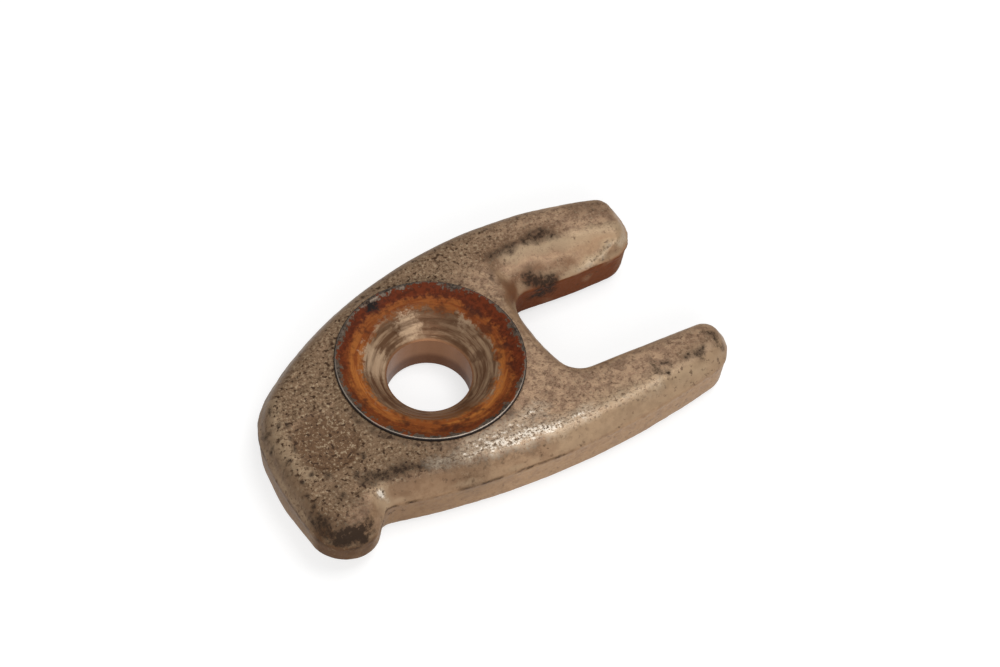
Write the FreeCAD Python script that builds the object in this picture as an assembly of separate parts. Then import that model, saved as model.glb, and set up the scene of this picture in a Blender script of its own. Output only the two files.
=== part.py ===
import FreeCAD, Part
import math
import os

# Fuel injector holder: a forged steel clamp with a two-pronged fork.
# The bolt hole is in the middle, the fork is at +X and the tail at -X.
# A rounded lug stands out at the tail's right corner, seen along +X.
# Origin: on the bolt hole's axis, in the plane of the flat underside.
# +X points to the fork's open end, +Z up the bolt hole to the washer seat.

# Heights: the parting plane above the underside, the forged top above that
PARTING_HEIGHT = 4.8
UPPER_HALF_HEIGHT = 2.3
SEAT_RIM_RISE = 0.4
FORGED_TOP_HEIGHT = PARTING_HEIGHT + UPPER_HALF_HEIGHT
SEAT_RIM_HEIGHT = FORGED_TOP_HEIGHT + SEAT_RIM_RISE

# Plan of the forging, at the parting plane
RIGHT_PRONG_REACH = 30.0
LEFT_PRONG_REACH = 27.35
TAIL_REACH = 20.05
TAIL_WIDEST_Y = -6.0
TAIL_CORNER_INSET = 0.4
RIGHT_FLANK_HALF_WIDTH = 14.75
RIGHT_FLANK_WIDEST_X = 6.8
RIGHT_FLANK_RADIUS = 85.0
LEFT_FLANK_HALF_WIDTH = 14.55
LEFT_FLANK_WIDEST_X = 12.5
LEFT_FLANK_RADIUS = 47.0
TAIL_CORNER_RADIUS = 9.0
TAIL_BACK_RADIUS = 20.0
TIP_CORNER_RADIUS = 2.35
RIGHT_TIP_OUTER_RADIUS = 3.35
LEFT_TIP_INNER_RADIUS = 3.3

# Fork slot, at the parting plane
SLOT_ROOT_X = 11.85
SLOT_ROOT_DEEPEST_Y = 2.5
SLOT_ROOT_RADIUS = 22.0
SLOT_RIGHT_WALL_Y = 6.3
SLOT_LEFT_WALL_Y = 5.2
SLOT_LEFT_WALL_BULGE = 0.4
SLOT_LEFT_WALL_BEND_RADIUS = 60.0
SLOT_CORNER_RADIUS = 2.2

# Dished relief on the left prong's top, along the slot, taking shares of its breadth
RELIEF_START_BEHIND_ROOT = 0.85
RELIEF_FOOT_AHEAD_OF_ROOT = 1.75
RELIEF_END_SHORT_OF_TIP = 0.75
RELIEF_START_SHARE = 0.46
RELIEF_MIDDLE_SHARE = 0.42
RELIEF_END_SHARE = 0.09
RELIEF_CORNER_RADIUS = 2.0
RELIEF_RISE_LENGTH = 6.2

# Lug at the tail's right corner
LUG_RADIUS = 4.0
LUG_CENTRE_INSET = 4.55
LUG_CENTRE_Y = 12.0
LUG_NECK_RADIUS = 1.4
LUG_RELIEF_START = 16.4
LUG_RELIEF_TURN = 56.3
LUG_RELIEF_SLOPE = 18.5
LUG_RELIEF_BLEND = 12.0

# Draft and edge rounding left by the forging dies, and the trimmed flash
UPPER_DRAFT = 24.0
LOWER_DRAFT = 5.0
TOP_EDGE_RADIUS = 1.8
BOTTOM_EDGE_RADIUS = 1.3
FLASH_WIDTH = 0.15
FLASH_THICKNESS = 0.5
RELIEF_FOOT_HEIGHT = PARTING_HEIGHT + FLASH_THICKNESS / 2

# Machined bolt hole and washer seat
BOLT_HOLE_RADIUS = 4.45
HOLE_CHAMFER = 0.4
SEAT_RIM_RADIUS = 9.95
SEAT_LIP_WIDTH = 0.45
SEAT_STEP_RADIUS = 7.1
SEAT_STEP_DEPTH = 0.85
SEAT_FLOOR_DEPTH = 3.0

# Round stamping on the tail's top
STAMP_RADIUS = 3.35
STAMP_X = -14.0
STAMP_Y = -4.2
STAMP_DEPTH = 0.15

# How closely an edge must match the place it is picked by
PICK_TOLERANCE = 1e-3

# A corner that turns less than this, in degrees, needs no rounding
SMOOTH_TURN = 5.8

# Most of an edge or wall that one rounding may use up
CORNER_SHARE = 0.49
EDGE_SHARE = 0.97


def flank_height(x, widest_x, half_width, radius):
    """Distance of a flank arc from the centre line at a given x."""
    return half_width - radius + math.sqrt(radius ** 2 - (x - widest_x) ** 2)


def right_flank(x):
    y = flank_height(x, RIGHT_FLANK_WIDEST_X, RIGHT_FLANK_HALF_WIDTH, RIGHT_FLANK_RADIUS)
    return FreeCAD.Vector(x, -y, 0)


def left_flank(x):
    y = flank_height(x, LEFT_FLANK_WIDEST_X, LEFT_FLANK_HALF_WIDTH, LEFT_FLANK_RADIUS)
    return FreeCAD.Vector(x, y, 0)


def slot_root(y):
    aside = y - SLOT_ROOT_DEEPEST_Y
    x = SLOT_ROOT_X + SLOT_ROOT_RADIUS - math.sqrt(SLOT_ROOT_RADIUS ** 2 - aside ** 2)
    return FreeCAD.Vector(x, y, 0)


def line(start, end):
    return Part.LineSegment(start, end).toShape()


def arc(centre, first, last):
    """Arc round a centre, anticlockwise from first to last as seen from above."""
    spoke = first - centre
    last_spoke = last - centre
    circle = Part.Circle(centre, FreeCAD.Vector(0, 0, 1), spoke.Length)
    first_angle = math.atan2(spoke.y, spoke.x)
    last_angle = math.atan2(last_spoke.y, last_spoke.x)
    return Part.ArcOfCircle(circle, first_angle, last_angle).toShape()


def circle_crossing(first, first_radius, second, second_radius):
    """Crossing of two circles, the one to the right of first to second."""
    span = second - first
    gap = span.Length
    along = (first_radius ** 2 - second_radius ** 2 + gap ** 2) / (2 * gap)
    across = math.sqrt(first_radius ** 2 - along ** 2)
    span.normalize()
    return first + span * along + FreeCAD.Vector(span.y, -span.x, 0) * across


def towards(start, end, distance):
    """Point at a distance from start on the way to end."""
    way = end - start
    return start + way.normalize() * distance


def tangent_point(point, centre, radius):
    """Where a line from a point touches a circle, on its right hand side."""
    way = centre - point
    reach = math.sqrt(way.Length ** 2 - radius ** 2)
    turn = math.atan2(way.y, way.x) - math.asin(radius / way.Length)
    return point + FreeCAD.Vector(math.cos(turn), math.sin(turn), 0) * reach


def plan_outline():
    """Closed wire of the forging at the parting plane, its corners rounded."""
    right_tip = right_flank(RIGHT_PRONG_REACH)
    right_inner = FreeCAD.Vector(RIGHT_PRONG_REACH, -SLOT_RIGHT_WALL_Y, 0)
    root_right = slot_root(-SLOT_RIGHT_WALL_Y)
    root_left = slot_root(SLOT_LEFT_WALL_Y)
    left_inner = FreeCAD.Vector(LEFT_PRONG_REACH, SLOT_LEFT_WALL_Y, 0)
    left_tip = left_flank(LEFT_PRONG_REACH)
    tail_corner = left_flank(TAIL_CORNER_INSET - TAIL_REACH)
    tail_back = FreeCAD.Vector(-TAIL_REACH, TAIL_WIDEST_Y, 0)
    slot_middle = FreeCAD.Vector((SLOT_ROOT_X + LEFT_PRONG_REACH) / 2,
                                 SLOT_LEFT_WALL_Y - SLOT_LEFT_WALL_BULGE, 0)
    lug_centre = FreeCAD.Vector(LUG_CENTRE_INSET - TAIL_REACH, -LUG_CENTRE_Y, 0)
    lug_start = tangent_point(tail_back, lug_centre, LUG_RADIUS)
    right_flank_centre = FreeCAD.Vector(RIGHT_FLANK_WIDEST_X,
                                        RIGHT_FLANK_RADIUS - RIGHT_FLANK_HALF_WIDTH, 0)
    left_flank_centre = FreeCAD.Vector(LEFT_FLANK_WIDEST_X, LEFT_FLANK_HALF_WIDTH - LEFT_FLANK_RADIUS, 0)
    slot_root_centre = FreeCAD.Vector(SLOT_ROOT_X + SLOT_ROOT_RADIUS, SLOT_ROOT_DEEPEST_Y, 0)
    neck_centre = circle_crossing(lug_centre, LUG_RADIUS + LUG_NECK_RADIUS,
                                  right_flank_centre, RIGHT_FLANK_RADIUS + LUG_NECK_RADIUS)
    neck_start = towards(lug_centre, neck_centre, LUG_RADIUS)
    neck_end = towards(right_flank_centre, neck_centre, RIGHT_FLANK_RADIUS)
    edges = [
        arc(right_flank_centre, neck_end, right_tip),
        line(right_tip, right_inner),
        line(right_inner, root_right),
        arc(slot_root_centre, root_left, root_right),
        line(root_left, slot_middle),
        line(slot_middle, left_inner),
        line(left_inner, left_tip),
        arc(left_flank_centre, left_tip, tail_corner),
        line(tail_corner, tail_back),
        line(tail_back, lug_start),
        arc(lug_centre, lug_start, neck_start),
        arc(neck_centre, neck_end, neck_start),
    ]
    corner_radii = [
        (right_tip, RIGHT_TIP_OUTER_RADIUS),
        (right_inner, TIP_CORNER_RADIUS),
        (root_right, SLOT_CORNER_RADIUS),
        (root_left, SLOT_CORNER_RADIUS),
        (slot_middle, SLOT_LEFT_WALL_BEND_RADIUS),
        (left_inner, LEFT_TIP_INNER_RADIUS),
        (left_tip, TIP_CORNER_RADIUS),
        (tail_corner, TAIL_CORNER_RADIUS),
        (tail_back, TAIL_BACK_RADIUS),
    ]
    prism = Part.Face(Part.Wire(edges)).extrude(FreeCAD.Vector(0, 0, 1))
    for corner, radius in corner_radii:
        opening = corner_opening(edges, corner)
        if math.pi - opening > math.radians(SMOOTH_TURN):
            limit = CORNER_SHARE * shortest_side(edges, corner) * math.tan(opening / 2)
            upright = [edge for edge in prism.Edges if stands_at(edge, corner)]
            prism = prism.makeFillet(min(radius, limit), upright)
    floor = min(prism.Faces, key=lambda face: face.CenterOfMass.z)
    return floor.OuterWire


def corner_opening(edges, corner):
    """Angle between the two edges that meet at a corner."""
    directions = [leaving_direction(edge, corner) for edge in edges if ends_at(edge, corner)]
    return directions[0].getAngle(directions[1])


def shortest_side(edges, corner):
    return min(edge.Length for edge in edges if ends_at(edge, corner))


def leaving_direction(edge, corner):
    """Direction in which an edge leaves the corner it ends at."""
    start = edge.valueAt(edge.FirstParameter)
    if start.distanceToPoint(corner) < PICK_TOLERANCE:
        return edge.tangentAt(edge.FirstParameter)
    return edge.tangentAt(edge.LastParameter) * -1


def ends_at(edge, point):
    return any(vertex.Point.distanceToPoint(point) < PICK_TOLERANCE for vertex in edge.Vertexes)


def stands_at(edge, corner):
    """True for the upright edge over a corner of the plan."""
    middle = edge.CenterOfMass
    level = FreeCAD.Vector(middle.x, middle.y, 0)
    upright = edge.BoundBox.ZLength > PICK_TOLERANCE
    return upright and level.distanceToPoint(corner) < PICK_TOLERANCE


def drafted_half(outline, rise, draft):
    """Die half from the parting plane, its walls leaning in by the draft."""
    lean = abs(rise) * math.tan(math.radians(draft))
    end = outline.makeOffset2D(-lean)
    base = outline.copy()
    base.translate(FreeCAD.Vector(0, 0, PARTING_HEIGHT))
    end.translate(FreeCAD.Vector(0, 0, PARTING_HEIGHT + rise))
    return Part.makeLoft([base, end], True, True)


def edges_at_height(shape, height):
    """Edges that lie flat at one height."""
    flat_edges = []
    for edge in shape.Edges:
        box = edge.BoundBox
        if abs(box.ZMin - height) < PICK_TOLERANCE and abs(box.ZMax - height) < PICK_TOLERANCE:
            flat_edges.append(edge)
    return flat_edges


def edge_limit(rim, height, draft):
    """Largest rounding that fits a drafted wall and the tightest corner of its rim."""
    tightest = min(edge.Curve.Radius for edge in rim if isinstance(edge.Curve, Part.Circle))
    wall = height / math.cos(math.radians(draft))
    return EDGE_SHARE * min(tightest, wall) / math.tan(math.radians(90 - draft) / 2)


def upper_half(outline):
    """Forging above the parting plane, its top edge well rounded."""
    half = drafted_half(outline, UPPER_HALF_HEIGHT, UPPER_DRAFT)
    rim = edges_at_height(half, FORGED_TOP_HEIGHT)
    radius = min(TOP_EDGE_RADIUS, edge_limit(rim, UPPER_HALF_HEIGHT, UPPER_DRAFT))
    plain = half.makeFillet(radius, rim)
    relieved = half.cut(prong_relief())
    relieved = relieved.makeFillet(radius, edges_at_height(relieved, FORGED_TOP_HEIGHT))
    rise = relief_rise()
    return relieved.cut(rise).fuse(plain.common(rise)).removeSplitter()


def lower_half(outline):
    """Forging below the parting plane, its underside curving up at the lug."""
    half = drafted_half(outline, -PARTING_HEIGHT, LOWER_DRAFT)
    radius = min(BOTTOM_EDGE_RADIUS, edge_limit(edges_at_height(half, 0), PARTING_HEIGHT, LOWER_DRAFT))
    half = half.cut(lug_relief())
    half = half.makeFillet(LUG_RELIEF_BLEND, underside_edges(half, 2))
    return half.makeFillet(radius, underside_edges(half, 1))


def underside_edges(shape, sharing):
    """Edges that one (its rim) or two (its inner bend) underside faces share."""
    edges = []
    for face in shape.Faces:
        if face.normalAt(*middle_parameters(face)).z < -0.5:
            edges.extend(face.Edges)
    chosen = []
    for edge in edges:
        count = sum(edge.isSame(other) for other in edges)
        taken = any(edge.isSame(other) for other in chosen)
        if count == sharing and not taken:
            chosen.append(edge)
    return chosen


def middle_parameters(face):
    u_first, u_last, v_first, v_last = face.ParameterRange
    return (u_first + u_last) / 2, (v_first + v_last) / 2


def lug_relief():
    """Wedge that lifts the underside towards the lug's end."""
    reach = 2 * TAIL_REACH
    rise = reach * math.tan(math.radians(LUG_RELIEF_SLOPE))
    wedge = Part.makePolygon([
        FreeCAD.Vector(-LUG_RELIEF_START, -reach, 0),
        FreeCAD.Vector(-LUG_RELIEF_START - reach, -reach, 0),
        FreeCAD.Vector(-LUG_RELIEF_START - reach, -reach, rise),
        FreeCAD.Vector(-LUG_RELIEF_START, -reach, 0),
    ])
    solid = Part.Face(wedge).extrude(FreeCAD.Vector(0, 2 * reach, 0))
    solid.rotate(FreeCAD.Vector(0, 0, 0), FreeCAD.Vector(0, 0, 1), LUG_RELIEF_TURN)
    return solid


def prong_relief():
    """Sloping cutter that dishes the left prong's top down to the slot."""
    inside_slot = SLOT_LEFT_WALL_Y - SLOT_CORNER_RADIUS
    start_x = SLOT_ROOT_X - RELIEF_START_BEHIND_ROOT
    foot_x = SLOT_ROOT_X + RELIEF_FOOT_AHEAD_OF_ROOT
    end_x = LEFT_PRONG_REACH - RELIEF_END_SHORT_OF_TIP
    breadth = LEFT_FLANK_HALF_WIDTH - SLOT_LEFT_WALL_Y
    start_y = SLOT_LEFT_WALL_Y + RELIEF_START_SHARE * breadth
    middle_y = SLOT_LEFT_WALL_Y + RELIEF_MIDDLE_SHARE * breadth
    end_y = SLOT_LEFT_WALL_Y + RELIEF_END_SHARE * breadth
    foot = Part.makePolygon([
        FreeCAD.Vector(foot_x, inside_slot, RELIEF_FOOT_HEIGHT),
        FreeCAD.Vector(foot_x, SLOT_LEFT_WALL_Y, RELIEF_FOOT_HEIGHT),
        FreeCAD.Vector(end_x, SLOT_LEFT_WALL_Y, RELIEF_FOOT_HEIGHT),
        FreeCAD.Vector(end_x, inside_slot, RELIEF_FOOT_HEIGHT),
        FreeCAD.Vector(foot_x, inside_slot, RELIEF_FOOT_HEIGHT),
    ])
    start = FreeCAD.Vector(start_x, start_y, FORGED_TOP_HEIGHT)
    middle = FreeCAD.Vector((start_x + end_x) / 2, middle_y, FORGED_TOP_HEIGHT)
    end = FreeCAD.Vector(end_x, end_y, FORGED_TOP_HEIGHT)
    start_inside = FreeCAD.Vector(start_x, inside_slot, FORGED_TOP_HEIGHT)
    end_inside = FreeCAD.Vector(end_x, inside_slot, FORGED_TOP_HEIGHT)
    rim = Part.Wire([
        line(start_inside, start),
        Part.Arc(start, middle, end).toShape(),
        line(end, end_inside),
        line(end_inside, start_inside),
    ])
    cutter = Part.makeLoft([foot, rim], True, True)
    slanted = [edge for edge in cutter.Edges if edge.BoundBox.ZLength > PICK_TOLERANCE]
    far_corner = [edge for edge in slanted if ends_at(edge, start)]
    return cutter.makeFillet(RELIEF_CORNER_RADIUS, far_corner)


def relief_rise():
    """Wedge under the plane on which the relief's floor rises to the prong's tip."""
    start_x = LEFT_PRONG_REACH - RELIEF_RISE_LENGTH
    relief_end_x = LEFT_PRONG_REACH - RELIEF_END_SHORT_OF_TIP
    end_x = (relief_end_x + LEFT_PRONG_REACH) / 2
    side = Part.makePolygon([
        FreeCAD.Vector(start_x, 0, PARTING_HEIGHT),
        FreeCAD.Vector(end_x, 0, PARTING_HEIGHT),
        FreeCAD.Vector(end_x, 0, FORGED_TOP_HEIGHT),
        FreeCAD.Vector(start_x, 0, RELIEF_FOOT_HEIGHT),
        FreeCAD.Vector(start_x, 0, PARTING_HEIGHT),
    ])
    middle_y = (SLOT_LEFT_WALL_Y + LEFT_FLANK_HALF_WIDTH) / 2
    return Part.Face(side).extrude(FreeCAD.Vector(0, middle_y, 0))


def flash_line(outline):
    """Thin ridge of trimmed flash round the parting plane."""
    ridge = outline.makeOffset2D(FLASH_WIDTH)
    ridge.translate(FreeCAD.Vector(0, 0, PARTING_HEIGHT - FLASH_THICKNESS / 2))
    return Part.Face(ridge).extrude(FreeCAD.Vector(0, 0, FLASH_THICKNESS))


def washer_seat():
    """Everything that the lathe takes out: seat, bolt hole and chamfer."""
    lip_radius = SEAT_RIM_RADIUS - SEAT_LIP_WIDTH
    top = SEAT_RIM_HEIGHT
    profile = Part.makePolygon([
        FreeCAD.Vector(0, 0, 0),
        FreeCAD.Vector(BOLT_HOLE_RADIUS + HOLE_CHAMFER, 0, 0),
        FreeCAD.Vector(BOLT_HOLE_RADIUS, 0, HOLE_CHAMFER),
        FreeCAD.Vector(BOLT_HOLE_RADIUS, 0, top - SEAT_FLOOR_DEPTH),
        FreeCAD.Vector(SEAT_STEP_RADIUS, 0, top - SEAT_STEP_DEPTH),
        FreeCAD.Vector(lip_radius, 0, top),
        FreeCAD.Vector(0, 0, top),
        FreeCAD.Vector(0, 0, 0),
    ])
    return Part.Face(profile).revolve(FreeCAD.Vector(0, 0, 0), FreeCAD.Vector(0, 0, 1), 360)


def stamping():
    """Shallow round impression on the tail."""
    centre = FreeCAD.Vector(STAMP_X, STAMP_Y, FORGED_TOP_HEIGHT - STAMP_DEPTH)
    return Part.makeCylinder(STAMP_RADIUS, 2 * STAMP_DEPTH, centre)


def clamp_body():
    outline = plan_outline()
    body = upper_half(outline).fuse([lower_half(outline), flash_line(outline)])
    boss_height = SEAT_RIM_HEIGHT - PARTING_HEIGHT
    boss_foot = FreeCAD.Vector(0, 0, PARTING_HEIGHT)
    body = body.fuse(Part.makeCylinder(SEAT_RIM_RADIUS, boss_height, boss_foot))
    body = body.cut([washer_seat(), stamping()])
    return body.removeSplitter()


os.makedirs("parts", exist_ok=True)
holder = clamp_body()
holder.exportStep("parts/clamp_body.step")
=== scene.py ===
import bmesh
import bpy
import math
import numpy as np
from mathutils import Matrix, Vector, noise


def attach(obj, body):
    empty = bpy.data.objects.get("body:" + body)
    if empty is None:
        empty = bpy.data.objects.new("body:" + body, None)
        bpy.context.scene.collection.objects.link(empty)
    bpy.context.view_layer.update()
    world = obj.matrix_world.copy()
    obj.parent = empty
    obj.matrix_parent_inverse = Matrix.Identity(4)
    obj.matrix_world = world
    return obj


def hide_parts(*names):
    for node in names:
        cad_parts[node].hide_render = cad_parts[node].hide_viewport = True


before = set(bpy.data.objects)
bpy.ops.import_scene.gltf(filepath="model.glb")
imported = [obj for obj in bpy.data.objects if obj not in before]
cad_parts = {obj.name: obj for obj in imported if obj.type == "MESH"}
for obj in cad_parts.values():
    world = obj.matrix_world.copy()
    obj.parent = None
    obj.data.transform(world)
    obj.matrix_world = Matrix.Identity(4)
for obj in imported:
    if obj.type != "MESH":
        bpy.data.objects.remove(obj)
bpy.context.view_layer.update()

# Camera
# It stands 0.4 m from the holder, above it and in front of its right flank.
# It looks down from the tail's side and leans a little to one side.
camera_place = Vector((-0.11239, -0.199459, 0.335501))
camera_heading = math.radians(-31.13)
camera_tilt = math.radians(35.37)
camera_roll = math.radians(5.07)
camera_data = bpy.data.cameras.new("camera")
camera_data.sensor_width = 36.0
camera_data.lens = 139.75
camera_data.clip_start = 0.01
camera_data.clip_end = 20.0
camera = bpy.data.objects.new("camera", camera_data)
bpy.context.scene.collection.objects.link(camera)
camera.matrix_world = (
    Matrix.Translation(camera_place)
    @ Matrix.Rotation(camera_heading, 4, "Z")
    @ Matrix.Rotation(camera_tilt, 4, "X")
    @ Matrix.Rotation(camera_roll, 4, "Z")
)
bpy.context.scene.camera = camera

# Floor and light
# A plain white table under two large soft lamps, with an even pale room round it.
# The table looks white to the camera and in reflections, and takes the shadow.
floor_size = 3.0
table_grey = 0.42
table_glow = 0.68
room_level = 0.32


def node(tree, kind, inputs=None, **settings):
    """New shader node with its settings, and its inputs set or linked."""
    made = tree.nodes.new("ShaderNode" + kind)
    for name, value in settings.items():
        setattr(made, name, value)
    for name, value in (inputs or {}).items():
        if isinstance(value, bpy.types.NodeSocket):
            tree.links.new(value, made.inputs[name])
        else:
            made.inputs[name].default_value = value
    return made


def cleared_tree(owner):
    """Empty shader tree of a material or of the room."""
    owner.use_nodes = True
    owner.node_tree.nodes.clear()
    return owner.node_tree


def colour(red, green, blue):
    return (red, green, blue, 1.0)


half_floor = floor_size / 2
floor_corners = [
    (-half_floor, -half_floor, 0),
    (half_floor, -half_floor, 0),
    (half_floor, half_floor, 0),
    (-half_floor, half_floor, 0),
]
floor_mesh = bpy.data.meshes.new("floor")
floor_mesh.from_pydata(floor_corners, [], [(0, 1, 2, 3)])
floor = bpy.data.objects.new("floor", floor_mesh)
bpy.context.scene.collection.objects.link(floor)

floor_white = bpy.data.materials.new("white table")
tree = cleared_tree(floor_white)
seen = node(tree, "LightPath")
ray_kinds = {0: seen.outputs["Is Camera Ray"], 1: seen.outputs["Is Glossy Ray"]}
seen_directly = node(tree, "Math", ray_kinds, operation="MAXIMUM").outputs[0]
glow_level = node(tree, "Math", {0: seen_directly, 1: table_glow}, operation="MULTIPLY").outputs[0]
table_paint = node(tree, "BsdfDiffuse", {"Color": colour(table_grey, table_grey, table_grey)})
table_light = node(tree, "Emission", {"Color": colour(1, 1, 1), "Strength": glow_level})
table_sum = node(tree, "AddShader", {0: table_paint.outputs[0], 1: table_light.outputs[0]})
node(tree, "OutputMaterial", {"Surface": table_sum.outputs[0]})
floor_mesh.materials.append(floor_white)

world = bpy.data.worlds.new("room")
bpy.context.scene.world = world
tree = cleared_tree(world)
room_light = node(tree, "Background", {"Color": colour(1.0, 0.99, 0.97), "Strength": room_level})
room_seen = node(tree, "Background", {"Color": colour(1, 1, 1), "Strength": 1.0})
room_mix = node(tree, "MixShader", {
    0: node(tree, "LightPath").outputs["Is Camera Ray"],
    1: room_light.outputs[0],
    2: room_seen.outputs[0],
})
node(tree, "OutputWorld", {"Surface": room_mix.outputs[0]})

lamps = {
    "overhead lamp": (Vector((0.26, -0.05, 0.9)), 0.5, 3.9),
    "front lamp": (Vector((-0.30, -0.75, 0.48)), 0.6, 4.6),
}
for lamp_name, (lamp_place, lamp_width, lamp_power) in lamps.items():
    lamp_data = bpy.data.lights.new(lamp_name, "AREA")
    lamp_data.size = lamp_width
    lamp_data.energy = lamp_power
    lamp = bpy.data.objects.new(lamp_name, lamp_data)
    bpy.context.scene.collection.objects.link(lamp)
    lamp.location = lamp_place
    lamp.rotation_euler = lamp_place.to_track_quat("Z", "Y").to_euler()

bpy.context.scene.view_settings.view_transform = "Standard"

# Forged body
# The whole holder is one piece of steel, hammered between two dies, trimmed and left with its scale.
# Its washer seat and bolt hole are turned afterwards, and one bolt holds it down.
# Here the skin follows the solid, is roughened and worn, and is then cut by the lathe.
millimetre = 0.001
skin_step = 0.22
lathe_steps = 256
seat_rim_radius = 9.95
seat_rim_height = 7.5
parting_height = 4.8
stamping_centre = (-14.0, -4.2)
stamping_radius = 3.35


def turned_mesh(name, profile):
    """Closed mesh of a profile of radii and heights, turned round the bolt hole's axis."""
    shape = bmesh.new()
    turns = [2 * math.pi * step / lathe_steps for step in range(lathe_steps)]
    rings = []
    for radius, height in profile:
        if radius == 0:
            rings.append([shape.verts.new((0, 0, height))] * lathe_steps)
        else:
            ring = [(radius * math.cos(turn), radius * math.sin(turn), height) for turn in turns]
            rings.append([shape.verts.new(corner) for corner in ring])
    for low, high in zip(rings, rings[1:] + rings[:1]):
        for step in range(lathe_steps):
            following = (step + 1) % lathe_steps
            corners = list(dict.fromkeys([low[step], low[following], high[following], high[step]]))
            if len(corners) > 2:
                shape.faces.new(corners)
    bmesh.ops.recalc_face_normals(shape, faces=shape.faces)
    mesh = bpy.data.meshes.new(name)
    shape.to_mesh(mesh)
    shape.free()
    return mesh


def with_modifiers_applied(modified):
    evaluated = modified.evaluated_get(bpy.context.evaluated_depsgraph_get())
    return bpy.data.meshes.new_from_object(evaluated)


def points_of(mesh):
    values = np.empty(len(mesh.vertices) * 3)
    mesh.vertices.foreach_get("co", values)
    return values.reshape(-1, 3)


def normals_of(mesh):
    values = np.empty(len(mesh.vertices) * 3)
    mesh.vertex_normals.foreach_get("vector", values)
    return values.reshape(-1, 3)


def move_points(mesh, points):
    mesh.vertices.foreach_set("co", points.ravel())
    mesh.update()


def lumps(points, size, seed):
    """Random value of about -1 to 1 at each point, in lumps of the given size."""
    shift = Vector((37.0 * seed, 11.0 * seed, 0))
    return np.array([noise.noise(Vector(point) / size + shift) for point in points])


def ramp(values, low, high):
    """0 below low and 1 above high, with a straight rise between."""
    return np.clip((values - low) / (high - low), 0, 1)


def band(heights, middle, reach, fade):
    """1 near a middle height and 0 beyond a reach, with a straight fall over the last part."""
    return ramp(reach - np.abs(heights - middle), 0, fade)


def plan_distance(points, centre):
    return np.hypot(points[:, 0] - centre[0], points[:, 1] - centre[1])


def nearness(points, path, reach):
    """1 on a path of plan points, falling to 0 at the given distance from it."""
    nearest = np.full(len(points), np.inf)
    for start, end in zip(path, path[1:]):
        start = np.array(start)
        way = np.array(end) - start
        share = np.clip((points[:, :2] - start) @ way / (way @ way), 0, 1)
        gap = points[:, :2] - start - share[:, None] * way
        nearest = np.minimum(nearest, np.hypot(gap[:, 0], gap[:, 1]))
    return np.clip(1 - nearest / reach, 0, 1)


def evened(mesh, points, amount, rounds):
    """Points drawn towards the middle of their neighbours, each by its own amount."""
    ends = np.empty(len(mesh.edges) * 2, dtype=int)
    mesh.edges.foreach_get("vertices", ends)
    ends = ends.reshape(-1, 2)
    ends = np.concatenate([ends, ends[:, ::-1]])
    neighbours = np.bincount(ends[:, 0])
    for _ in range(rounds):
        sums = [np.bincount(ends[:, 0], points[ends[:, 1], axis]) for axis in range(3)]
        middles = np.stack(sums, axis=1) / neighbours[:, None]
        points = points + amount[:, None] * (middles - points)
    return points


# Blank: the solid with its hole and seat filled, and its boss left a little large for the lathe
boss_radius = seat_rim_radius + 0.2
boss_height = seat_rim_height + 0.15
boss_foot = seat_rim_height - 0.6
core_radius = boss_radius - 1
plug_profile = [
    (0, 0),
    (core_radius, 0),
    (core_radius, boss_foot),
    (boss_radius, boss_foot),
    (boss_radius, boss_height),
    (0, boss_height),
]
blank_shape = bmesh.new()
blank_shape.from_mesh(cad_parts["clamp_body"].data)
bmesh.ops.remove_doubles(blank_shape, verts=blank_shape.verts, dist=1e-7)
bmesh.ops.scale(blank_shape, vec=(1 / millimetre,) * 3, verts=blank_shape.verts)
blank_shape.from_mesh(turned_mesh("plug", plug_profile))
blank_mesh = bpy.data.meshes.new("blank")
blank_shape.to_mesh(blank_mesh)
blank_shape.free()
holder = bpy.data.objects.new("forged_holder", blank_mesh)
bpy.context.scene.collection.objects.link(holder)
even_skin = holder.modifiers.new("even skin", "REMESH")
even_skin.mode = "VOXEL"
even_skin.voxel_size = skin_step
even_skin.adaptivity = 0
skin_mesh = with_modifiers_applied(holder)
holder.modifiers.clear()

# Hammered skin: worn seam, shallow waves, roughness, pits in the scale and chips along the seam
slot_wall = [(12.4, 7.0), (13.0, 5.3), (20.0, 4.9), (25.5, 5.4), (27.3, 8.0)]
turned_zone_radius = 10.2
turned_zone_foot = 7.0
evening = 0.5
skin_rounds = 2
seam_rounds = 14
wave_size = 4.5
wave_depth = 0.045
roughness_size = 0.9
roughness_depth = 0.035
pit_size = 0.75
pit_depth = 0.04
tail_pit_depth = 0.08
chip_size = 1.1
chip_depth = 0.06
slot_chip_depth = 0.18
stamping_rim_depth = 0.08
stamping_rim_width = 0.3

points = points_of(skin_mesh)
by_slot_wall = nearness(points, slot_wall, 2.0)
seam_wear = band(points[:, 2], parting_height, 0.9, 0.4) * (1 - ramp(by_slot_wall, 0, 0.4))
points = evened(skin_mesh, points, np.full(len(points), evening), skin_rounds)
points = evened(skin_mesh, points, evening * seam_wear, seam_rounds)
move_points(skin_mesh, points)
normals = normals_of(skin_mesh)
past_boss = plan_distance(points, (0, 0)) - turned_zone_radius
below_boss = turned_zone_foot - points[:, 2]
forged_share = ramp(np.maximum(past_boss, below_boss), 0, 0.3)
tail_share = ramp(-points[:, 0] - 0.4 * points[:, 1], 2.0, 12.0)
facing_up = ramp(normals[:, 2], 0.75, 0.97)
seam_share = band(points[:, 2], parting_height, 0.5, 0.3) * ramp(0.5 - normals[:, 2], 0, 0.3)
past_stamping_rim = plan_distance(points, stamping_centre) - stamping_radius
waves = wave_depth * (1 + lumps(points, wave_size, 1))
roughness = roughness_depth * np.abs(lumps(points, roughness_size, 2))
pit_share = facing_up * ramp(lumps(points, pit_size, 3), 0.22, 0.6)
pits = (pit_depth + tail_pit_depth * tail_share) * pit_share
chip_share = seam_share * ramp(lumps(points, chip_size, 4), -0.15, 0.3)
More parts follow.
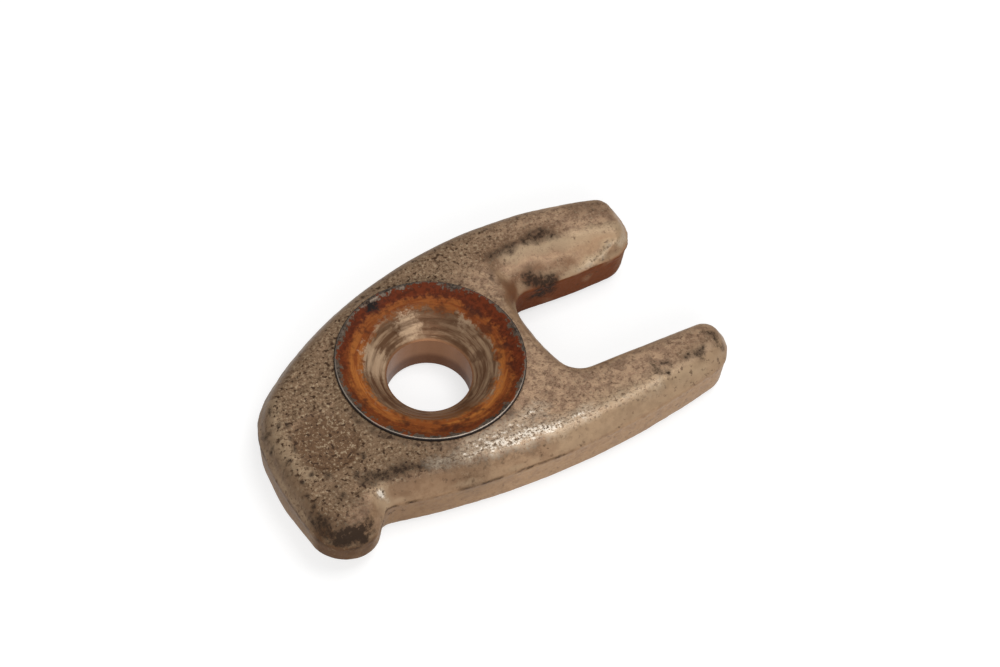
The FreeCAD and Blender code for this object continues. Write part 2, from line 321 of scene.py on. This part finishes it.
chips = (chip_depth + slot_chip_depth * by_slot_wall) * chip_share
stamping_rim = stamping_rim_depth * np.exp(-((past_stamping_rim / stamping_rim_width) ** 2)) * facing_up
inward = (waves + roughness + pits + chips + stamping_rim) * forged_share
move_points(skin_mesh, points - normals * inward[:, None])

# Turned washer seat and bolt hole, cut into the skin with a lathe's fine grooves
bore_radius = 4.45
underside_chamfer = 0.4
cone_foot = (bore_radius, 4.5)
cone_top = (7.1, 6.65)
cone_grooves = (4.95, 5.55, 6.35)
groove_depth = 0.03
groove_half_width = 0.13
seat_foot = (7.2, 6.66)
seat_top = (9.42, 7.4)
rounded_lip = [(9.5, 7.46), (9.7, 7.49), (9.84, 7.49), (seat_rim_radius, 7.42)]
boss_foot_height = 7.13
cutter_radius = 10.9
cutter_top = 8.5
cutter_spare = 1.0


def cone_height(radius):
    share = (radius - cone_foot[0]) / (cone_top[0] - cone_foot[0])
    return cone_foot[1] + share * (cone_top[1] - cone_foot[1])


seat_profile = [
    (0, -cutter_spare),
    (bore_radius + underside_chamfer + cutter_spare, -cutter_spare),
    (bore_radius, underside_chamfer),
    cone_foot,
]
for groove in cone_grooves:
    for offset, depth in ((-groove_half_width, 0), (0, groove_depth), (groove_half_width, 0)):
        seat_profile.append((groove + offset, cone_height(groove + offset) - depth))
seat_profile += [cone_top, seat_foot, seat_top] + rounded_lip
seat_profile += [(seat_rim_radius, boss_foot_height), (cutter_radius, boss_foot_height)]
seat_profile += [(cutter_radius, cutter_top), (0, cutter_top)]
cutter = bpy.data.objects.new("lathe cut", turned_mesh("lathe cut", seat_profile))
bpy.context.scene.collection.objects.link(cutter)
holder.data = skin_mesh
cut = holder.modifiers.new("lathe cut", "BOOLEAN")
cut.operation = "DIFFERENCE"
cut.solver = "MANIFOLD"
cut.object = cutter


# Skin of the forging: tan scale with grime, pits and rubbed places
def place_in_millimetres(tree):
    """Place on the piece, from the bolt hole's axis and the underside."""
    inputs = {0: node(tree, "TexCoord").outputs["Object"], "Scale": 1 / millimetre}
    return node(tree, "VectorMath", inputs, operation="SCALE").outputs["Vector"]


def cloudy(tree, place, size, detail=3.0, rough=0.6):
    """Noise of about 0.3 to 0.7 in lumps of a size in millimetres."""
    inputs = {"Vector": place, "Scale": 1 / size, "Detail": detail, "Roughness": rough}
    return node(tree, "TexNoise", inputs).outputs["Fac"]


def rising(tree, value, low, high, bottom=0.0, top=1.0):
    """Goes smoothly from bottom to top while a value goes from low to high."""
    inputs = {"Value": value, "From Min": low, "From Max": high, "To Min": bottom, "To Max": top}
    return node(tree, "MapRange", inputs, interpolation_type="SMOOTHSTEP").outputs["Result"]


def calculated(tree, operation, first, second, kept_in_range=True):
    """Sum, product or the like of two values, kept from 0 to 1 unless told otherwise."""
    return node(tree, "Math", {0: first, 1: second}, operation=operation, use_clamp=kept_in_range).outputs[0]


def painted(tree, under, over, share):
    """One colour laid over another, as far as the share says."""
    mix = node(tree, "Mix", {0: share, 6: under, 7: over}, data_type="RGBA")
    return mix.outputs[2]


def stored(tree, name):
    """Amount of a mark, which the mesh carries at each of its points."""
    return node(tree, "Attribute", attribute_name=name).outputs["Fac"]


tan_scale = colour(0.43, 0.276, 0.164)
darker_scale = colour(0.35, 0.220, 0.130)
lower_wall_scale = colour(0.430, 0.265, 0.145)
side_cloud = colour(0.255, 0.150, 0.086)
top_scale = colour(0.46, 0.300, 0.188)
top_cloud = colour(0.290, 0.180, 0.115)
tail_shade_colour = colour(0.225, 0.142, 0.083)
brown_film = colour(0.122, 0.060, 0.028)
wall_rust = colour(0.190, 0.058, 0.021)
pale_scale_and_highlight = colour(0.45, 0.325, 0.205)
light_grain = colour(0.40, 0.30, 0.195)
dark_grain = colour(0.085, 0.048, 0.027)
dark_speck = colour(0.085, 0.047, 0.027)
filled_pit = colour(0.055, 0.028, 0.015)
black_grime_and_shade = colour(0.030, 0.017, 0.010)
highlight_and_worn_steel = colour(0.56, 0.45, 0.335)
dull_grain = colour(0.13, 0.088, 0.058)
bright_glint = colour(0.92, 0.82, 0.70)

forged = bpy.data.materials.new("forged scale")
tree = cleared_tree(forged)
place = place_in_millimetres(tree)
facing = node(tree, "SeparateXYZ", {0: node(tree, "TexCoord").outputs["Normal"]}).outputs["Z"]
flat_top = rising(tree, facing, 0.80, 0.985)
broad = cloudy(tree, place, 3.5, 2.0)
mottle = cloudy(tree, place, 1.0, 4.0, 0.65)
spots = cloudy(tree, place, 0.6, 3.0, 0.65)
pit_clouds = cloudy(tree, place, 0.5, 1.5, 0.5)
grain = cloudy(tree, place, 0.32, 2.0, 0.7)
tail_shade = stored(tree, "tail_shade")
grime_and_shade = stored(tree, "grime_and_shade")
wear_and_highlight = stored(tree, "wear_and_highlight")
rust = stored(tree, "rust")
brown = stored(tree, "brown")

skin = painted(tree, tan_scale, darker_scale, rising(tree, broad, 0.35, 0.65))
skin = painted(tree, skin, lower_wall_scale, stored(tree, "below_seam"))
skin = painted(tree, skin, side_cloud, rising(tree, mottle, 0.44, 0.66, 0, 0.5))
skin = painted(tree, skin, top_scale, flat_top)
top_mottle = calculated(tree, "MULTIPLY", flat_top, rising(tree, mottle, 0.40, 0.58, 0.05, 0.95))
skin = painted(tree, skin, top_cloud, top_mottle)
# Painted shade darkening the tail and the back of the left prong
skin = painted(tree, skin, tail_shade_colour, tail_shade)
skin = painted(tree, skin, brown_film, brown)
skin = painted(tree, skin, wall_rust, rust)
# Pale scale, and a painted highlight just above the seam
skin = painted(tree, skin, pale_scale_and_highlight, stored(tree, "pale_and_highlight"))

# Light grains, dark specks and filled pits, strongest where the faces are flat and on the tail
top_speckle = calculated(tree, "MULTIPLY", flat_top, 0.55)
speckle = calculated(tree, "ADD", top_speckle, calculated(tree, "MULTIPLY", tail_shade, 0.45))
light_grains = calculated(tree, "MULTIPLY", speckle, rising(tree, grain, 0.53, 0.68, 0, 0.9))
skin = painted(tree, skin, light_grain, light_grains)
dark_grains = calculated(tree, "MULTIPLY", speckle, rising(tree, grain, 0.47, 0.33, 0, 0.9))
skin = painted(tree, skin, dark_grain, dark_grains)
speck_share = rising(tree, broad, 0.38, 0.62, 0.15, 0.75)
dark_specks = calculated(tree, "MULTIPLY", rising(tree, spots, 0.57, 0.70), speck_share)
skin = painted(tree, skin, dark_speck, dark_specks)
pitted = calculated(tree, "MULTIPLY", speckle, rising(tree, tail_shade, 0, 0.8, 0.4, 1.0))
filled_pits = calculated(tree, "MULTIPLY", pitted, rising(tree, pit_clouds, 0.60, 0.66, 0, 0.95))
skin = painted(tree, skin, filled_pit, filled_pits)

# Grime with some painted shade, and rubbed places with a painted highlight and glints, all broken up by the
# grain of the skin
broken_spots = calculated(tree, "MULTIPLY", spots, 2.0, False)
broken_grain = calculated(tree, "MULTIPLY", grain, 1.8, False)
broken = calculated(tree, "ADD", broken_spots, broken_grain, False)
broken = calculated(tree, "SUBTRACT", broken, 0.9, False)
grime_and_shade_share = rising(tree, calculated(tree, "MULTIPLY", grime_and_shade, broken, False), 0.15, 1.12, 0, 0.96)
skin = painted(tree, skin, black_grime_and_shade, grime_and_shade_share)
# Painted highlight in light steel colour, with some real rubbing, where the rubbed mark is strong
wear_and_highlight_share = rising(tree, calculated(tree, "MULTIPLY", wear_and_highlight, broken, False), 0.15, 1.1, 0, 0.65)
skin = painted(tree, skin, highlight_and_worn_steel, wear_and_highlight_share)
dull_grains = calculated(tree, "MULTIPLY", wear_and_highlight, rising(tree, grain, 0.47, 0.33, 0, 0.9))
skin = painted(tree, skin, dull_grain, dull_grains)
# Painted glints in the strongest part of the painted highlight
glints = calculated(tree, "MULTIPLY", wear_and_highlight, calculated(tree, "ADD", broken, grain, False), False)
skin = painted(tree, skin, bright_glint, rising(tree, glints, 1.38, 1.85, 0, 0.9))

# Rust, grime and painted shade are dull, bare scale and the rubbed, highlighted places have a little shine
rust_grime_or_shade = calculated(tree, "MAXIMUM", rust, grime_and_shade_share)
dull = calculated(tree, "MAXIMUM", rust_grime_or_shade, calculated(tree, "MULTIPLY", brown, 0.6))
wear_and_highlight_metal = calculated(tree, "MULTIPLY", wear_and_highlight, 0.3)
metal_share = calculated(tree, "ADD", rising(tree, mottle, 0.35, 0.65, 0.2, 0.45), wear_and_highlight_metal)
metal_share = calculated(tree, "SUBTRACT", metal_share, dull)
matt = rising(tree, grain, 0.35, 0.65, 0.40, 0.56)
matt = calculated(tree, "ADD", matt, calculated(tree, "MULTIPLY", dull, 0.3))
grain_hills = calculated(tree, "MULTIPLY", grain, 0.4)
hills = calculated(tree, "ADD", calculated(tree, "MULTIPLY", spots, 0.5), grain_hills)
relief = node(tree, "Bump", {
    "Height": hills,
    "Strength": calculated(tree, "ADD", calculated(tree, "MULTIPLY", flat_top, 0.4), 0.3),
    "Distance": 0.18 * millimetre,
})
skin_shader = node(tree, "BsdfPrincipled", {
    "Base Color": skin,
    "Metallic": metal_share,
    "Roughness": matt,
    "Specular IOR Level": 0.15,
    "Normal": relief.outputs["Normal"],
})
node(tree, "OutputMaterial", {"Surface": skin_shader.outputs[0]})

# Turned washer seat: rust where the washer lay, bare grooved cone and bore
groove_brown = colour(0.165, 0.085, 0.045)
bare_steel = colour(0.40, 0.262, 0.160)
stained_steel = colour(0.120, 0.058, 0.030)
far_side_shade = colour(0.085, 0.040, 0.020)
near_side_film = colour(0.27, 0.110, 0.036)
streak_highlight = colour(0.58, 0.405, 0.262)
bore_brown = colour(0.290, 0.140, 0.070)
bore_foot_brown = colour(0.150, 0.060, 0.026)
orange_rust = colour(0.40, 0.135, 0.028)
brown_rust = colour(0.25, 0.068, 0.015)
red_rust = colour(0.130, 0.026, 0.008)
dark_red_rust = colour(0.078, 0.017, 0.006)
rust_blot = colour(0.05, 0.016, 0.009)
black_spot = colour(0.013, 0.010, 0.009)
black_lip = colour(0.036, 0.027, 0.022)
grey_lip = colour(0.145, 0.108, 0.082)
edge_highlight = colour(0.42, 0.36, 0.30)
rim_wall_shade = colour(0.030, 0.024, 0.023)
rust_start = (6.75, 7.5)
rust_end = (9.42, 9.72)
edge_start = (9.74, 9.79)
edge_end = (9.84, 9.88)
rim_wall_start = (9.87, 9.90)

turned = bpy.data.materials.new("turned steel")
tree = cleared_tree(turned)
place = place_in_millimetres(tree)
ways = node(tree, "SeparateXYZ", {0: place})
height = ways.outputs["Z"]
across = node(tree, "CombineXYZ", {0: ways.outputs["X"], 1: ways.outputs["Y"]}).outputs["Vector"]
radius = node(tree, "VectorMath", {0: across}, operation="LENGTH").outputs["Value"]
lathe_place = node(tree, "CombineXYZ", {
    0: calculated(tree, "MULTIPLY", radius, 2.6, False),
    1: calculated(tree, "MULTIPLY", ways.outputs["Y"], 0.22, False),
    2: calculated(tree, "MULTIPLY", ways.outputs["X"], 0.22, False),
}).outputs["Vector"]
lathe_rings = cloudy(tree, lathe_place, 1.0, 3.0, 0.65)
patches = cloudy(tree, place, 2.0, 3.0, 0.6)
fine = cloudy(tree, place, 0.45, 3.0, 0.65)
ragged_radius = calculated(tree, "ADD", radius, rising(tree, patches, 0.3, 0.7, -0.35, 0.35), False)
ragged_radius = calculated(tree, "ADD", ragged_radius, rising(tree, fine, 0.3, 0.7, -0.3, 0.3), False)


def turned_towards(x, y):
    """How far the surface lies from the hole's axis along a plan direction, in mm."""
    return node(tree, "VectorMath", {0: across, 1: (x, y, 0)}, operation="DOT_PRODUCT").outputs["Value"]


def patch_at(x, y, inner, outer):
    """1 within the inner distance of a plan point and 0 beyond the outer one, with a ragged edge."""
    apart = node(tree, "VectorMath", {0: across, 1: (x, y, 0)}, operation="DISTANCE").outputs["Value"]
    apart = calculated(tree, "ADD", apart, rising(tree, fine, 0.3, 0.7, -0.4, 0.4), False)
    return rising(tree, apart, outer, inner)


bare = painted(tree, groove_brown, bare_steel, rising(tree, lathe_rings, 0.36, 0.64))
bare = painted(tree, bare, stained_steel, rising(tree, patches, 0.48, 0.66, 0, 0.7))
# Painted shade over the cone's far side
bare = painted(tree, bare, far_side_shade, rising(tree, turned_towards(0.4, 0.92), 3.6, 6.2, 0, 0.75))
bare = painted(tree, bare, near_side_film, rising(tree, turned_towards(-0.3, -0.95), 3.8, 6.6, 0, 0.8))
# Painted highlights: bright streaks across the grooves of the cone
streak_highlights = ((-4.9, 3.2, 0.9, 2.5, 1.0), (0.4, 5.8, 0.5, 1.7, 0.75), (6.1, 3.6, 0.3, 1.4, 0.5))
for x, y, inner, outer, share in streak_highlights:
    ring_share = rising(tree, lathe_rings, 0.34, 0.56, 0.3, share)
    streak = calculated(tree, "MULTIPLY", patch_at(x, y, inner, outer), ring_share)
    bare = painted(tree, bare, streak_highlight, streak)
bore = painted(tree, bore_brown, bore_foot_brown, rising(tree, height, 2.6, 1.5))
bare = painted(tree, bare, bore, rising(tree, radius, 4.75, 4.5))

inner_rust = painted(tree, orange_rust, brown_rust, rising(tree, lathe_rings, 0.4, 0.6))
outer_rust = painted(tree, red_rust, dark_red_rust, rising(tree, fine, 0.42, 0.6))
towards_lip = rising(tree, ragged_radius, 7.6, 9.1, 0, 0.8)
towards_slot = rising(tree, turned_towards(0.55, 0.83), -5.0, 6.0, 0, 0.5)
seat_rust = painted(tree, inner_rust, outer_rust, calculated(tree, "ADD", towards_lip, towards_slot))
seat_rust = painted(tree, seat_rust, rust_blot, rising(tree, patches, 0.56, 0.68, 0, 0.6))
seat_rust = painted(tree, seat_rust, black_spot, patch_at(-2.5, 8.8, 0.3, 1.1))
past_rust_start = rising(tree, ragged_radius, rust_start[0], rust_start[1])
before_rust_end = rising(tree, ragged_radius, rust_end[1], rust_end[0])
rusted = calculated(tree, "MULTIPLY", past_rust_start, before_rust_end)
seat = painted(tree, bare, seat_rust, rusted)

lip = painted(tree, black_lip, grey_lip, rising(tree, fine, 0.4, 0.62))
seat = painted(tree, seat, lip, rising(tree, ragged_radius, rust_end[0], rust_end[1]))
# Painted highlight on the edge of the rim, strongest on the near side
past_edge_start = rising(tree, radius, edge_start[0], edge_start[1])
before_edge_end = rising(tree, radius, edge_end[1], edge_end[0])
edge_line = calculated(tree, "MULTIPLY", past_edge_start, before_edge_end)
edge_light = rising(tree, turned_towards(-0.5, -0.87), -2.0, 5.0, 0.1, 0.7)
seat = painted(tree, seat, edge_highlight, calculated(tree, "MULTIPLY", edge_line, edge_light))
# Painted shade on the rim's small outer wall
seat = painted(tree, seat, rim_wall_shade, rising(tree, radius, rim_wall_start[0], rim_wall_start[1]))

ring_hills = calculated(tree, "MULTIPLY", lathe_rings, 0.7)
hills = calculated(tree, "ADD", ring_hills, calculated(tree, "MULTIPLY", fine, 0.3))
relief = node(tree, "Bump", {"Height": hills, "Strength": 0.6, "Distance": 0.1 * millimetre})
matt = rising(tree, lathe_rings, 0.35, 0.65, 0.34, 0.50)
turned_shader = node(tree, "BsdfPrincipled", {
    "Base Color": seat,
    "Metallic": calculated(tree, "SUBTRACT", 0.5, calculated(tree, "MULTIPLY", rusted, 0.5)),
    "Roughness": calculated(tree, "ADD", matt, calculated(tree, "MULTIPLY", rusted, 0.22)),
    "Specular IOR Level": 0.1,
    "Normal": relief.outputs["Normal"],
})
node(tree, "OutputMaterial", {"Surface": turned_shader.outputs[0]})

skin_mesh.materials.clear()
skin_mesh.materials.append(forged)
skin_mesh.materials.append(turned)
cutter.data.materials.append(turned)
cutter.data.materials.append(forged)
for face in cutter.data.polygons:
    beside_boss = face.center.xy.length > seat_rim_radius + 0.05
    face.material_index = 1 if beside_boss else 0
body_mesh = with_modifiers_applied(holder)
holder.modifiers.clear()
bpy.data.objects.remove(cutter)
holder.data = body_mesh

# Where the marks lie on the forging, as paths in plan whose edges wander a little
mark_wander = 0.5
mark_softness = 0.6
points = points_of(body_mesh)
wander = np.stack([lumps(points, 1.4, 6), lumps(points, 1.4, 7), np.zeros(len(points))], axis=1)
strayed = points + mark_wander * wander
above_seam = ramp(points[:, 2], parting_height - 0.1, parting_height + 0.3)


def laid(paths):
    """Strongest of several marks, each an amount, a reach in millimetres and a path in plan."""
    share = np.zeros(len(strayed))
    for amount, reach, path in paths:
        share = np.maximum(share, amount * nearness(strayed, path, reach) ** mark_softness)
    return share


# Grime: neck and right flank, lug, tail, left prong, right prong's tip; painted shade at the foot of the boss
grime_and_shade_paths = [
    (0.85, 1.3, [(-12.2, -10.2), (-9.9, -10.5), (-8.0, -10.7), (-6.3, -11.2), (-3.7, -11.8)]),
    (0.50, 2.4, [(-9.5, -10.3), (-6.3, -10.9), (-2.5, -11.2)]),
    (0.60, 0.9, [(-3.7, -12.2), (-0.5, -12.9), (2.8, -13.4), (6.5, -13.5)]),
    (1.60, 0.9, [(-17.3, -14.7), (-16.6, -15.1), (-15.3, -15.2)]),
    (0.90, 1.3, [(-18.4, -12.2), (-18.2, -13.5), (-17.4, -14.6), (-15.3, -15.1), (-14.2, -14.6)]),
    (0.45, 2.2, [(-18.3, -11.2), (-17.5, -14.2), (-15.0, -14.4), (-13.7, -13.5)]),
    (0.45, 1.3, [(-17.7, 1.2), (-18.9, -1.0), (-19.2, -4.0), (-18.6, -8.1), (-18.5, -11.5)]),
    (0.45, 1.3, [(-15.5, -9.0), (-15.8, -11.5), (-14.0, -12.5)]),
    (0.80, 1.0, [(11.9, 9.4), (13.0, 9.6), (14.5, 9.7)]),
    (0.85, 1.1, [(16.0, 9.7), (17.7, 9.9), (18.8, 9.2)]),
    (0.45, 0.8, [(11.6, 9.4), (10.4, 6.6)]),
    (0.52, 1.3, [(23.0, 11.2), (25.2, 10.4)]),
    (0.80, 0.7, [(21.0, -9.8), (20.9, -10.9), (21.6, -11.7)]),
    (0.80, 0.6, [(21.9, -10.0), (22.3, -10.5)]),
    (0.80, 0.7, [(24.5, -10.7), (25.9, -10.8), (26.9, -10.3)]),
    (0.75, 0.7, [(27.4, -8.6), (28.3, -9.2), (28.4, -10.4)]),
    (0.35, 1.6, [(13.0, -8.6), (18.0, -8.9)]),
    # Painted shade in the step at the foot of the boss, round its near side
    (0.65, 0.9, [(-10.1, -2.6), (-8.7, -5.7), (-6.5, -8.1), (-3.2, -9.9), (0.7, -10.5), (4.9, -9.2)]),
]
tail_pits = [
    (-17.7, 1.2), (-17.7, -0.6), (-18.9, -1.0), (-19.1, -2.7), (-18.6, -5.2), (-18.5, -8.1), (-18.3, -9.3),
    (-18.6, -11.1), (-16.7, -1.1), (-17.3, -2.6), (-17.4, -3.9), (-17.0, -7.4), (-15.5, -8.3), (-15.3, -11.1),
    (-13.0, -9.5), (-11.5, -7.5),
]
grime_and_shade_paths += [(0.85, 0.5, [(x, y), (x + 0.1, y + 0.2)]) for x, y in tail_pits]
grime_and_shade = laid(grime_and_shade_paths) * above_seam
stain = 1.1 * nearness(strayed, [(15.0, 6.0), (15.8, 5.3), (16.9, 4.8)], 1.5) ** 0.8
stain *= ramp(points[:, 2], 1.6, 3.2)
seam_line = band(points[:, 2], parting_height - 0.1, 0.34, 0.2) * ramp(lumps(points, 1.1, 8), -0.4, 0.2)
seam_line *= 0.25 + 0.75 * ramp(14.0 - points[:, 0], 0, 6.0)
grime_and_shade = np.maximum(grime_and_shade, np.maximum(stain, 0.6 * seam_line))

# Brown film: left prong's ridge, neck, right prong's tip, lug, left prong's tip
brown = above_seam * laid([
    (0.75, 2.0, [(11.6, 9.6), (16.0, 9.8), (19.2, 9.2)]),
    (0.45, 2.6, [(-9.0, -12.3), (-5.5, -12.9), (-2.5, -13.4)]),
    (0.50, 1.6, [(24.0, -10.2), (27.8, -9.5)]),
    (0.50, 2.3, [(-18.3, -12.2), (-17.4, -14.6), (-15.3, -15.1), (-14.0, -14.4)]),
    (0.45, 1.6, [(22.5, 11.2), (25.5, 10.4)]),
])
root_corner = [(12.4, 4.6), (13.9, 5.4), (15.7, 5.2), (18.0, 4.5)]
stain_foot = [(13.7, 5.2), (16.2, 5.4), (18.9, 5.0)]
beside_slot_root = [(12.7, 3.4), (13.2, 4.4)]
brown_corner = laid([(1.15, 2.3, root_corner), (1.10, 1.5, beside_slot_root), (0.95, 1.9, stain_foot)])
brown_corner *= ramp(points[:, 2], 2.6, 4.4)
lug_path = [(-18.9, -13.6), (-18.1, -14.9), (-16.9, -15.9), (-15.7, -16.3), (-14.0, -16.2)]
lug_rim = laid([(1.10, 1.5, lug_path)])
from_stamping = plan_distance(strayed, stamping_centre)
stamping = 0.68 * ramp(1.12 - from_stamping / stamping_radius, 0, 0.25) * above_seam
stamping_edge = 0.95 * np.exp(-(((from_stamping - stamping_radius) / 0.4) ** 2))
stamping_edge *= ramp(-points[:, 1], 3.5, 6.0)
flank_foot = 0.38 * (1 - above_seam) * ramp(-points[:, 0], -3.0, 8.0)
for film in (brown_corner, lug_rim, stamping, stamping_edge, 0.6 * seam_line, flank_foot):
    brown = np.maximum(brown, film)

# Painted shade darkening the tail and the back of the left prong, rust on the slot's left wall and round the
# stain
neck = [(-14.0, -14.2), (-11.0, -13.6), (-5.0, -14.2)]
tail_shade = ramp(-points[:, 0] - 0.35 * points[:, 1], 2.0, 9.0) * ramp(0.7 - nearness(strayed, neck, 3.2), 0, 0.5)
far_flank = 0.85 * ramp(points[:, 1] - 0.3 * points[:, 0], 4.0, 8.0) * ramp(24.0 - points[:, 0], 0, 16.0)
tail_shade = np.maximum(tail_shade, far_flank) * ramp(points[:, 2], 2.0, 5.2)
rust = ramp(nearness(strayed, slot_wall, 2.6), 0, 0.5) * ramp(parting_height + 0.4 - points[:, 2], 0, 0.4)
rust *= ramp(30.5 - points[:, 0], 0.5, 6.0) * ramp(lumps(points, 2.5, 9), -1.1, -0.4)
rust = np.maximum(rust, laid([(0.45, 1.8, root_corner), (0.45, 1.7, stain_foot)]))

# Pale scale: tail, neck, floor of the relief, right prong's edge and side, edge of the slot; painted
# highlight just above the seam
pale_and_highlight = above_seam * laid([
    (0.52, 1.0, [(-16.9, 1.9), (-17.6, 0.2), (-18.2, -1.7), (-18.3, -3.8), (-17.8, -5.9), (-17.1, -7.6)]),
    (0.70, 1.2, [(-11.6, -11.9), (-11.4, -13.3)]),
    (0.80, 1.0, [(13.4, 8.8), (17.0, 8.6), (20.7, 8.2), (26.0, 7.4)]),
    (0.70, 1.3, [(14.0, -12.2), (20.9, -12.1), (25.8, -11.9)]),
    (0.45, 2.6, [(9.0, -13.5), (24.0, -12.5), (27.5, -11.5)]),
    (1.00, 0.6, [(18.1, 4.9), (21.8, 5.6), (26.8, 6.6)]),
])
# Painted highlight: a lighter band just above the seam, where the skin bulges
above_line = band(points[:, 2], parting_height + 0.5, 0.4, 0.3) * ramp(lumps(points, 1.8, 10), -0.3, 0.3)
pale_and_highlight = np.maximum(pale_and_highlight, 0.45 * above_line)

# Rubbed steel and painted highlights: a painted highlight with some rubbing along the right flank's edge from
# the neck to the prong, rubbed chips on the left tip's edge, painted glints beside the boss, a painted
# highlight at the neck
wear_and_highlight = above_seam * laid([
    (0.70, 1.4, [(-5.5, -11.4), (-2.0, -11.8)]),
    (0.95, 1.5, [(-2.0, -11.8), (1.0, -12.0)]),
    (1.14, 1.6, [(1.0, -12.0), (2.5, -12.1), (6.0, -12.4), (8.5, -12.5)]),
    (0.90, 1.4, [(8.5, -12.5), (12.5, -12.5)]),
    (0.60, 1.2, [(12.5, -12.5), (16.0, -12.4), (20.0, -12.1)]),
    (0.62, 0.6, [(20.4, 5.2), (23.5, 5.7), (26.6, 6.5)]),
    (0.90, 1.6, [(-1.0, -11.2), (1.5, -11.0), (4.5, -10.7), (7.5, -10.0)]),
    (1.50, 0.6, [(-11.5, -12.0), (-11.3, -12.2)]),
])
marks = {
    "grime_and_shade": grime_and_shade,
    "tail_shade": tail_shade,
    "brown": brown,
    "rust": rust,
    "pale_and_highlight": pale_and_highlight,
    "wear_and_highlight": wear_and_highlight,
    "below_seam": 1 - above_seam,
}
for name, amounts in marks.items():
    body_mesh.attributes.new(name, "FLOAT", "POINT").data.foreach_set("value", amounts)

sharp_edge_angle = math.radians(38)
body_mesh.transform(Matrix.Scale(millimetre, 4))
body_mesh.set_sharp_from_angle(angle=sharp_edge_angle)
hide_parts("clamp_body")
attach(holder, "root")
